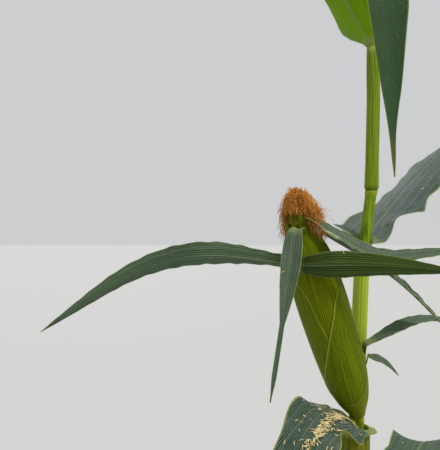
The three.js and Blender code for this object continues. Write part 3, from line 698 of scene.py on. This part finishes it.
def mouth_of(leaf):
    """Middle and size of the sheath's mouth, where the blade begins."""
    out = direction(radians(leaf["facing"]), 0)
    wrap = radians(SHEATH_WRAP)
    opening = leaf["pouch"] * smooth((leaf["ligule"] - leaf["node"]) / 45)
    radius = mouth_radius(leaf["ligule"]) + opening
    return stalk_middle(leaf["ligule"]) + out * (radius + opening), radius * wrap, wrap


def frill(seed):
    """The small waves of one margin, as a function of the share along the blade."""
    chance = random.Random(seed)
    waves = [(chance.uniform(slowest, fastest), chance.uniform(0, 6.3), size)
             for slowest, fastest, size in ((8, 13, 0.05), (17, 24, 0.02))]
    return lambda t: sum(size * sin(tau * rate * t + phase) for rate, phase, size in waves)


def blade_row(leaf, number, frame, shares, raised=0.0):
    """The corners of one row of a blade, with its margins' waves and folds, and how far across each is."""
    place, across, normal, t, station = frame
    _, mouth_half, mouth_cup = mouth_of(leaf)
    drawn_in = 1 - 0.3 * smooth((t - 0.72) / 0.14) * smooth((1 - t) / 0.04)
    full = leaf["width"] / 2 * blade_shape(t, LEAF_FOOT, LEAF_WIDEST) * drawn_in
    half = max(lerp(mouth_half, full, smooth(station / FLARES)), 0.5)
    opening = lerp(mouth_cup, radians(MOUTH_CUP), smooth(station / OPENS_BY))
    cup = lerp(opening, radians(leaf["cup"]), smooth(station / FLATTENS))
    wave = sin(tau * WAVES_PER_LEAF * t) * smooth(5 * t) * LEAF_WAVE * half
    calm = CALM if number in MARGINS else 1.0
    edges = [calm * half * smooth(6 * t) * frill(number + more)(t) for more in (0, 50)]
    lift = wave * shares * np.abs(shares) + np.abs(shares) ** 3 * np.where(shares < 0, *edges)
    reach, sag = np.ones(len(shares)), np.zeros(len(shares))
    if number in MARGINS:
        left, right = (look_up(table, t, MARGIN_EASE) for table in MARGINS[number])
        reach, folded, sag = (np.where(shares < 0, *pair) for pair in zip(left, right))
        lift = lift + folded * shares ** 2
    row = row_of(place, across, normal, half, cup, shares * reach, lift + raised)
    return row - np.outer(sag * np.abs(shares) ** 1.5, np.cross(normal, across)), shares * reach


def leaf_blade(leaf, number, finish):
    start, _, _ = mouth_of(leaf)
    length = leaf["length"]
    stations = [0.35, 1.5, 3, 5, 7, 9, 12, 16, 20, 25, 30, 35, 40]
    stations += list(np.linspace(45, length - 4, int(length / 5.5))) + [length]
    shares = strip_shares(30)
    rows, walls, places = [], [], []
    for frame in blade_frames(leaf, start, stations, LEAVING_SLOPE, OPENS_BY):
        t, station = frame[3:]
        opened = smooth(station / COLLAR)
        groove = 0.9 * (1 - t) * opened * np.exp(-(shares / 0.06) ** 2)
        row, laid = blade_row(leaf, number, frame, shares, -groove)
        rib = length * RIB_WALL * (1 - 0.85 * t) * np.exp(-(shares / 0.07) ** 2)
        rows.append(row)
        walls.append(lerp(COLLAR_WALL, BLADE_WALL, opened) * (1 - 0.4 * opened * shares ** 4) + rib * opened)
        places.append(marks(laid, t, 0.3 * leaf["tone"]))
    edges = np.tile(np.abs(shares), (len(rows), 1))
    piece = walled(laid_grid(f"blade_{number:02d}", rows, places, edges), walls)
    fit(piece, "leaf", finish, f"leaf_{number:02d}_blade", f"leaf_{number:02d}_end")


def leaf_sheath(leaf, number, finish):
    """A shell round the stalk, snug at its foot, whose margins part towards its mouth."""
    node, ligule, facing = leaf["node"], leaf["ligule"], radians(leaf["facing"])
    out, side = direction(facing, 0), np.array((sin(facing), -cos(facing), 0))
    shares = np.linspace(-1, 1, 57)
    # The sheath's painted sunlight, or its brown that is partly painted shade, goes to the finish in the
    # place attribute
    light = SHEATH_PAINTED_LIGHT_AND_BROWN.get(number, FRESH)
    rows, places = [], []
    for z in [node + step for step in (0.8, 1.3, 2.0, 3.0, 5.0)] + list(np.linspace(node + 9, ligule, 24)):
        tight = stalk_radius(z) + SHEATH_OUT - 0.9 * smooth(1 - (z - node - 0.8) / 3)
        radius = lerp(tight, mouth_radius(z), smooth(1 - (ligule - z) / 30))
        opening = leaf["pouch"] * smooth((z - node) / 45)
        wrap = radians(lerp(SHEATH_CLOSED, SHEATH_WRAP, smooth(1 - (ligule - z) / 26)))
        middle = stalk_middle(z) + out * (radius + 2 * opening)
        rows.append(row_of(middle, side, -out, (radius + opening) * wrap, wrap, shares, 0))
        places.append(marks(shares, (z - node) / (ligule - node), light))
    walls = np.full((len(rows), len(shares)), SHEATH_WALL)
    piece = walled(laid_grid(f"sheath_{number:02d}", rows, places), walls)
    fit(piece, "stalk", finish, f"leaf_{number:02d}_sheath")


# Stalk with its brace roots

def stalk(finish):
    """The stalk, swollen at its nodes, ribbed, and hollowed over each leaf, joined with its brace roots."""
    nodes = [leaf["node"] for leaf in LEAVES] + [LOWEST_RING]
    heights = set(np.linspace(0, STALK_TOP, 240))
    for z in nodes:
        heights |= {z + step for step in (-9, -7, -5, -3.5, -2, -1, 0, 1, 2, 3, 5, 8)}
    angles = np.linspace(0, tau, 65)
    rows, places = [], []
    for z in sorted(z for z in heights if 0 <= z <= STALK_TOP):
        gap = min(((z - node) for node in nodes), key=abs)
        ring = 0.9 * smooth(1 - abs(gap + 2) / 6) - 0.35 * smooth(1 - abs(gap - 0.6) / 1.4)
        above = [leaf for leaf in LEAVES if leaf["node"] <= z]
        facing = radians(above[-1]["facing"]) if above else 0.0
        groove = 0.07 * stalk_radius(z) * smooth(abs(gap) / 20)
        hollow = groove * np.exp(-((np.mod(angles - facing + pi, tau) - pi) / 0.42) ** 2)
        ribs = 0.045 * np.sin(angles * 22) + 0.03 * np.sin(angles * 37 + z * 0.004)
        radius = stalk_radius(z) + ring + ribs - hollow
        around = [radius * np.cos(angles), radius * np.sin(angles), np.zeros(len(angles))]
        rows.append(stalk_middle(z) + np.column_stack(around))
        rows[-1][-1] = rows[-1][0]
        brown = smooth(1 - z / 140) * 0.45
        places.append(marks(np.full(len(angles), max(min(gap, 30), -30)), brown, 0))
    piece = closed_tube(laid_grid("stalk_skin", rows, places))
    roots = brace_roots()
    start_fresh()
    roots.select_set(True)
    piece.select_set(True)
    bpy.context.view_layer.objects.active = piece
    bpy.ops.object.join()
    fit(name_piece("stalk_skin"), "stalk", finish, "stalk")


def brace_roots():
    paths = []
    for k in range(BRACE_ROOTS):
        heading = tau * k / BRACE_ROOTS + 0.2 * sin(5 * k)
        reach = ROOT_REACH * (1 + 0.14 * sin(3 * k + 1))
        start = ROOT_HEIGHT + 9 * sin(2 * k)
        arch = [(7, start + 3), (reach * 0.45, start * 0.86), (reach * 0.8, start * 0.4), (reach, 0)]
        places = through([direction(heading, 0) * far + np.array((0, 0, z)) for far, z in arch], 14)
        share = np.linspace(0, 1, 14)
        paths.append((places, ROOT_RADIUS * (1 - 0.22 * share) + 0.12 * np.sin(share * 30 + k)))
    piece = threads("brace_roots", paths, 3)
    for vertex in piece.data.vertices:
        vertex.co.z = max(vertex.co.z, 0.0)
    tell_places(piece, np.tile((30.0, 0.75, 0.0), (len(piece.data.vertices), 1)))
    return piece


# Ear

EAR_AXIS = EAR_TIP - EAR_FOOT
EAR_UP = EAR_AXIS / np.linalg.norm(EAR_AXIS)
EAR_RIGHT = np.array((1.0, 0, 0)) - EAR_UP * EAR_UP[0]
EAR_RIGHT /= np.linalg.norm(EAR_RIGHT)
EAR_FRONT = np.cross(EAR_RIGHT, EAR_UP)


def ear_point(share, angle, radius):
    angle = np.radians(angle)
    return (EAR_FOOT + EAR_AXIS * share + np.multiply.outer(radius * np.cos(angle), EAR_FRONT)
            + np.multiply.outer(radius * np.sin(angle), EAR_RIGHT))


def husk_radius(share):
    return look_up(HUSK_RADIUS, share, 0.035)[0]


def ripples(angles):
    return 0.1 * np.sin(np.radians(angles) * RIPPLES_ROUND_EAR)


def ear_body(finish):
    angles = np.linspace(-180, 180, 97)
    rows, places = [], []
    for share in np.linspace(0, 1, 60):
        rows.append(ear_point(share, angles, husk_radius(share) - 0.9 + ripples(angles)))
        rows[-1][-1] = rows[-1][0]
        places.append(marks(angles / 360, share, 0.05))
    fit(closed_tube(laid_grid("ear_body_skin", rows, places)), "husk", finish, "ear_body")


def outer_husk(name, margins, finish):
    lift, tone = OUTER_HUSK_LAYERS[name]
    rows, walls, places, edges = [], [], [], []
    first, last = margins[0][0], margins[-1][0]
    across = np.linspace(-1, 1, 73)
    for step in np.linspace(0, 1, 90):
        share = lerp(first, last, step)
        left, right = look_up(margins, share, 0.012)
        width = right - left
        angles = lerp(left, right, (across + 1) / 2)
        radius = husk_radius(share) + lift + ripples(angles) - 0.3 * np.abs(across) ** 8
        rows.append(ear_point(share, angles, radius))
        walls.append(0.3 + 0.35 * (1 - np.abs(across) ** 6))
        drawn = (left + right) / 2 + across * (width * 0.35 + 28)
        places.append(marks(drawn / 360, share, tone))
        from_end = min(step, 1 - step) * (last - first) * 235
        aside = (1 - np.abs(across)) * radians(width) / 2 * husk_radius(share)
        near = np.minimum(aside, from_end if share < 0.3 or name == "husk_front" else 99)
        edges.append(1 - near / 14)
    fit(walled(laid_grid(f"{name}_leaf", rows, places, edges), walls), "husk", finish, name)


def husk_tips(finish):
    """Pointed ends of the inner husks, which part round the silk."""
    across = np.linspace(-1, 1, 17)
    for number, (middle, spread, top) in enumerate(HUSK_TIPS):
        rows, places = [], []
        for step in np.linspace(0, 1, 18):
            share = lerp(0.8, top, step)
            angles = middle + across * spread * max(1 - step ** 2.2, 0.03)
            radius = husk_radius(min(share, 1)) - 0.25 + 0.2 * number + 2.4 * smooth((share - 0.95) / 0.12)
            rows.append(ear_point(share, angles, radius - 0.5 * across ** 4))
            places.append(marks(angles / 360, share, 0.45))
        edges = np.tile(1 - (1 - np.abs(across)) * 0.7, (len(rows), 1))
        walls = np.full((len(rows), len(across)), 0.35)
        fit(walled(laid_grid(f"husk_tip_{number}", rows, places, edges), walls), "husk", finish)


def shank(finish):
    out = direction(radians(SHANK_FACING), 0)
    beside = [stalk_middle(z) + out * (stalk_radius(z) + SHANK_CLEAR + SHANK_RADIUS) for z in SHANK_BESIDE]
    places = through([*beside, EAR_FOOT - EAR_UP * 8, EAR_FOOT + EAR_UP * 3], 30)
    share = np.linspace(0, 1, 30)
    piece = threads("ear_stem", [(places, SHANK_RADIUS + 0.9 * share ** 6)], 6)
    tell_places(piece, np.tile((0.1, 0.05, 0.6), (len(piece.data.vertices), 1)))
    fit(piece, "husk", finish, "ear_shank")


def husk_blade_start(blade):
    return ear_point(blade["share"], blade["angle"], husk_radius(blade["share"]) + HUSK_BLADE_LIFT)


def husk_blade(name, blade, number, finish):
    """A blade at the tip of a husk leaf, whose first rows lead out of the husk."""
    out = ear_point(blade["share"], blade["angle"], 1.0) - ear_point(blade["share"], blade["angle"], 0.0)
    stations = np.linspace(0.8, blade["length"], int(blade["length"] / 3.2))
    shares = strip_shares(18)
    edge = frill(200 + number)
    tone = HUSK_BLADE_TONES.get(name, HUSK_BLADE_TONE)
    foot = HUSK_BLADE_FEET.get(name, HUSK_BLADE_FOOT)
    rows, walls, places = [], [], []
    for frame in blade_frames(blade, husk_blade_start(blade), stations, blade["rise"], 0):
        place, across, normal, t, _ = frame
        along = min(t / (1 - blade["tail"]), 1)
        least = (2.3 if blade["tail"] else 0.6) * (1 - 0.8 * smooth((t - 0.85) / 0.15))
        half = max(blade["width"] / 2 * blade_shape(along, foot, HUSK_BLADE_WIDEST), least)
        groove = 0.5 * (1 - t) * np.exp(-(shares / 0.1) ** 2)
        lift = 1.3 * half * edge(t) * np.abs(shares) ** 2 * np.sign(shares) - groove
        rows.append(row_of(place, across, normal, half, radians(HUSK_BLADE_CUP), shares, lift))
        walls.append(0.5 + 0.9 * (1 - 0.8 * t) * np.exp(-(shares / 0.12) ** 2))
        places.append(marks(shares, t, 0.3 * tone))
    sunk, joint = out * (HUSK_BLADE_LIFT + 1.2) + EAR_UP * 8, (1.0, 0.66, 0.33)
    rows = [rows[0] - sunk * share for share in joint] + rows
    walls = walls[:1] * len(joint) + walls
    places = [places[0] * (1, 0, 1) - (0, 0.03 * share, 0) for share in joint] + places
    edges = np.tile(np.abs(shares), (len(rows), 1))
    fit(walled(laid_grid(f"{name}_leaf", rows, places, edges), walls), "husk_blade", finish, name)


# Silk

def silk_thread(chance, opening):
    """Places along a thread that rises out of the husk's opening, arches over and hangs down beside it."""
    turn = chance.uniform(0, tau)
    away = direction(turn, 0)
    to_right = max(0.0, cos(turn - radians(-20))) ** 3
    to_front = smooth(1.4 * cos(turn - radians(240)) - 0.1)
    height = chance.uniform(25, 45)
    reach = chance.uniform(5, 15) + to_right * chance.uniform(0, 15)
    end = chance.uniform(-18, 16) * (1 - to_front) + chance.uniform(9, 32) * to_front
    waves = [(chance.uniform(0.5, 3.4), chance.uniform(0, 6.3), chance.uniform(0.25, 1.1) / rank)
             for rank in (1, 2, 3)]
    root = opening + away * (7 - 4 * to_front) * sqrt(chance.random())
    places = []
    for s in np.linspace(0, 1, 20):
        risen = sin(pi / 2 * min(1.0, s / 0.5))
        fallen = smooth((s - 0.42) / 0.62)
        place = root + away * (1 + reach * 0.22) * smooth(s * 1.6)
        place = place + away * reach * 0.74 * smooth(s * 1.5 - 0.5)
        place[2] += height * (1 - 0.016 * reach) * risen
        place[2] = lerp(place[2], root[2] + end, fallen)
        loose = smooth(s * 3)
        for axis, (rate, phase, size) in enumerate(waves):
            place[axis] += loose * size * sin(tau * rate * s * 2 + phase + 2 * axis)
            place[axis] += loose * 0.35 * sin(tau * rate * s * 5 + phase * 3)
        places.append(place)
    return places


def silk(tuft_finish, root_finish):
    """Fine threads in two pieces, and the thicker green ones at their foot."""
    chance = random.Random(4)
    opening = ear_point(0.985, 0.0, 0.0)
    tuft = [(silk_thread(chance, opening), np.linspace(0.27, 0.16, 20)) for _ in range(SILK_THREADS)]
    roots = []
    for _ in range(SILK_ROOTS):
        turn = radians(chance.uniform(-180, 180))
        root = opening + direction(turn, 0) * chance.uniform(3, 7)
        root[2] -= 6
        tip = opening + direction(turn + chance.uniform(-0.5, 0.5), 0) * chance.uniform(4, 10)
        tip[2] += chance.uniform(8, 24)
        middle = (root + tip) / 2 + direction(turn, 0) * 1.5
        roots.append((through([root, middle, tip], 9), np.linspace(0.55, 0.25, 9)))
    half = SILK_THREADS // 2
    fit(threads("silk_tuft", tuft[:half]), "silk", tuft_finish, "silk")
    fit(threads("silk_tuft_outer", tuft[half:]), "silk", tuft_finish)
    fit(threads("silk_roots", roots), "silk", root_finish)


# Tassel

def small_seed(name, length, width, thick):
    """A pointed grain-like body along +X, from one end to the other, of few faces."""
    start_fresh()
    bpy.ops.mesh.primitive_uv_sphere_add(segments=6, ring_count=5, radius=0.5)
    piece = name_piece(name)
    bpy.ops.object.mode_set(mode="EDIT")
    bpy.ops.mesh.select_all(action="SELECT")
    bpy.ops.transform.rotate(value=pi / 2, orient_axis="Y", center_override=(0, 0, 0))
    bpy.ops.transform.translate(value=(0.5, 0, 0))
    bpy.ops.transform.resize(value=(length * MM, width * MM, thick * MM), center_override=(0, 0, 0))
    bpy.ops.object.mode_set(mode="OBJECT")
    return piece


def spike_point(z):
    foot = stalk_middle(STALK_TOP)
    share = (z - STALK_TOP) / (TASSEL_TOP - STALK_TOP)
    return np.array((foot[0] + 14 * share ** 2, foot[1] - 8 * share ** 2, z))


def tassel_stems():
    """The spike and its branches, each a list of places with the radius at each."""
    spike = [spike_point(z) for z in np.linspace(STALK_TOP - 1, TASSEL_TOP - 6, 30)]
    paths = [(spike, np.linspace(2.2, 0.7, 30))]
    for k in range(TASSEL_BRANCHES):
        share = k / (TASSEL_BRANCHES - 1)
        heading = radians(137.5 * k)
        length = lerp(235, 130, share) * (1 + 0.1 * sin(5 * k))
        droop = 78 - 34 * share
        places = [spike_point(lerp(TASSEL_FIRST, TASSEL_LAST, share))]
        for j in range(24):
            pitch = radians(66 - droop * (j + 0.5) / 24)
            places.append(places[-1] + direction(heading, pitch) * (length - 5) / 24)
        paths.append((places, np.linspace(1.1, 0.4, 25)))
    return paths


def tassel(straw, cream, anther):
    """Stems set with pointed spikelets, from which anthers hang."""
    chance = random.Random(9)
    paths = tassel_stems()
    fit(threads("tassel_stems", paths, 1), "tassel", straw)
    spots, forwards, ups, sizes, hung = [], [], [], [], []
    for number, (places, _) in enumerate(paths):
        on_spike = number == 0
        first, spacing, abreast = (95, 2.6, 3) if on_spike else (14, 5.2, 2)
        places = np.array(places)
        gone = lengths_along(places)
        for count, s in enumerate(np.arange(first, gone[-1], spacing)):
            place = on_line(places, gone, s)
            ahead = on_line(places, gone, s + 2) - place
            if np.linalg.norm(ahead) < 0.1:
                ahead = places[-1] - places[-2]
            ahead /= np.linalg.norm(ahead)
            level = np.cross(ahead, (0, 0, 1.0))
            level /= np.linalg.norm(level) or 1
            over = np.cross(level, ahead)
            for side in range(abreast):
                turn = chance.uniform(0, tau) if on_spike else pi * (count % 2) + side * 0.9 - 0.4
                out = level * cos(turn) + over * sin(turn)
                spots.append(place + out * 0.7)
                forwards.append(ahead + out * chance.uniform(0.35, 0.6))
                ups.append(out + ahead * 0.01)
                sizes.append(chance.uniform(0.85, 1.15))
                if chance.random() < 0.42:
                    hung.append(place + out * 3 + ahead * 4)
    shades = [chance.random() for _ in spots]
    spots, forwards, ups, sizes, shades = map(np.array, (spots, forwards, ups, sizes, shades))
    tips = spots + forwards / np.linalg.norm(forwards, axis=1)[:, None] * 9.5
    kept = tips[:, 2] < TASSEL_TOP - 0.5
    laid = [values[kept] for values in (spots, forwards, ups, sizes, shades)]
    grain = small_seed("spikelet", *SPIKELET)
    fit(strewn("tassel_spikelets", grain, *laid), "tassel", straw, "tassel")
    bpy.data.objects.remove(grain)
    down = np.array([(chance.uniform(-0.5, 0.5), chance.uniform(-0.5, 0.5), -1) for _ in hung])
    ups, sizes = np.tile((1, 0.2, 0), (len(hung), 1)), np.ones(len(hung))
    shades = [chance.random() for _ in hung]
    fit(strewn("tassel_anthers", anther, np.array(hung), down, ups, sizes, shades), "tassel", cream)


def fallen_anthers(anther, finish):
    """Spent anthers from the tassel, lying in the ear leaf's trough and here and there on other blades."""
    chance = random.Random(21)
    spots, forwards, ups = [], [], []
    for number, (in_trough, elsewhere) in FALLEN.items():
        leaf = LEAVES[number - 1]
        picks = []
        for _ in range(in_trough):
            picks.append((chance.uniform(0.04, 0.2) + abs(chance.gauss(0, 0.03)), chance.gauss(0.02, 0.07)))
        for _ in range(elsewhere):
            picks.append((0.06 + 0.7 * chance.random() ** 1.6, chance.uniform(-0.85, 0.85)))
        picks = sorted(pick for pick in picks if pick[0] < 0.9)
        stations = [t * leaf["length"] for t, _ in picks]
        frames = blade_frames(leaf, mouth_of(leaf)[0], stations, LEAVING_SLOPE, OPENS_BY)
        for frame, (_, aside) in zip(frames, picks):
            _, across, normal, _, station = frame
            if station < COLLAR:
                continue
            lie = chance.uniform(0, tau)
            flat = across * cos(lie) + np.cross(normal, across) * sin(lie)
            spots.append(blade_row(leaf, number, frame, np.array([aside]), 0.5)[0][0])
            forwards.append(flat + normal * 0.06)
            ups.append(normal)
    for name, picks in FALLEN_ON_HUSK.items():
        blade = HUSK_BLADES[name]
        stations = [t * blade["length"] for t, _ in picks]
        frames = blade_frames(blade, husk_blade_start(blade), stations, blade["rise"], 0)
        for (place, across, normal, t, _), (_, aside) in zip(frames, picks):
            half = blade["width"] / 2 * blade_shape(t, HUSK_BLADE_FOOT, HUSK_BLADE_WIDEST)
            cup = radians(HUSK_BLADE_CUP)
            spots.append(row_of(place, across, normal, half, cup, np.array([aside]), 0.7)[0])
            mostly_across = across * chance.uniform(0.5, 1)
            forwards.append(mostly_across + np.cross(normal, across) * chance.uniform(-1, 1))
            ups.append(normal)
    sizes, shades = np.ones(len(spots)), [chance.random() for _ in spots]
    laid = map(np.array, (spots, forwards, ups, sizes, shades))
    fit(strewn("fallen_anthers", anther, *laid), "tassel", finish)


# Room

def room():
    start_fresh()
    bpy.ops.mesh.primitive_plane_add(size=FLOOR_SIZE)
    floor = name_piece("floor")
    finish = Finish("pale_floor", 0.9)
    finish.colour(FLOOR)
    floor.data.materials.append(finish.material)
    scene = bpy.context.scene
    scene.world = scene.world or bpy.data.worlds.new("studio")
    scene.world.use_nodes = True
    sky = scene.world.node_tree.nodes["Background"]
    sky.inputs[0].default_value, sky.inputs[1].default_value = SKY, SKY_STRENGTH
    for name, (turned, strength, soft, tint) in LAMPS.items():
        light = bpy.data.lights.new(name, "SUN")
        light.energy, light.angle, light.color = strength, radians(soft), tint
        brought_in(name, light).rotation_euler = [radians(angle) for angle in turned]
    camera = brought_in("camera", bpy.data.cameras.new("camera"))
    camera.location, camera.rotation_euler = CAMERA, (radians(90), 0, 0)
    camera.data.lens, camera.data.clip_start = LENS, 0.02
    scene.camera = camera
    scene.view_settings.view_transform = "Standard"


leaf_skin = leaf_finish(
    "leaf_blade", green=colour(64, 95, 52), slate=colour(40, 51, 69), pale=colour(134, 146, 150),
    back=colour(62, 84, 10), back_pale=colour(140, 166, 56), rib=colour(136, 154, 96),
    margin=colour(176, 186, 108), veins=42, thin=0.35, pale_foot=0.022, young_and_backlit_foot=0.75)
husk_blade_skin = leaf_finish(
    "husk_leaf_blade", green=colour(36, 50, 2), slate=colour(80, 104, 86), pale=colour(146, 164, 142),
    back=colour(48, 66, 10), back_pale=colour(110, 132, 60), rib=colour(146, 164, 124),
    margin=colour(176, 188, 112), veins=12, thin=0.2, pale_foot=0.11, young_and_backlit_foot=0.0)
husk_skin = husk_finish()
sheath_skin = sheath_finish()
straw = straw_finish("tassel_straw", dark=colour(168, 150, 96), bright=colour(222, 208, 160))
cream = straw_finish("anther_cream", dark=colour(166, 138, 78), bright=colour(234, 220, 176))
silk_orange = silk_finish("silk_threads", dark=colour(116, 54, 6), bright=colour(232, 166, 78))
silk_green = silk_finish("silk_foot", dark=colour(104, 108, 4), bright=colour(166, 164, 46))

stalk(stalk_finish())
for number, leaf in enumerate(LEAVES, 1):
    leaf_sheath(leaf, number, sheath_skin)
    leaf_blade(leaf, number, leaf_skin)
ear_body(husk_skin)
for name, margins in OUTER_HUSKS.items():
    outer_husk(name, margins, husk_skin)
husk_tips(husk_skin)
shank(husk_skin)
for number, (name, blade) in enumerate(HUSK_BLADES.items()):
    husk_blade(name, blade, number, husk_blade_skin)
silk(silk_orange, silk_green)
anther = small_seed("anther", *ANTHER)
tassel(straw, cream, anther)
fallen_anthers(anther, cream)
bpy.data.objects.remove(anther)
room()
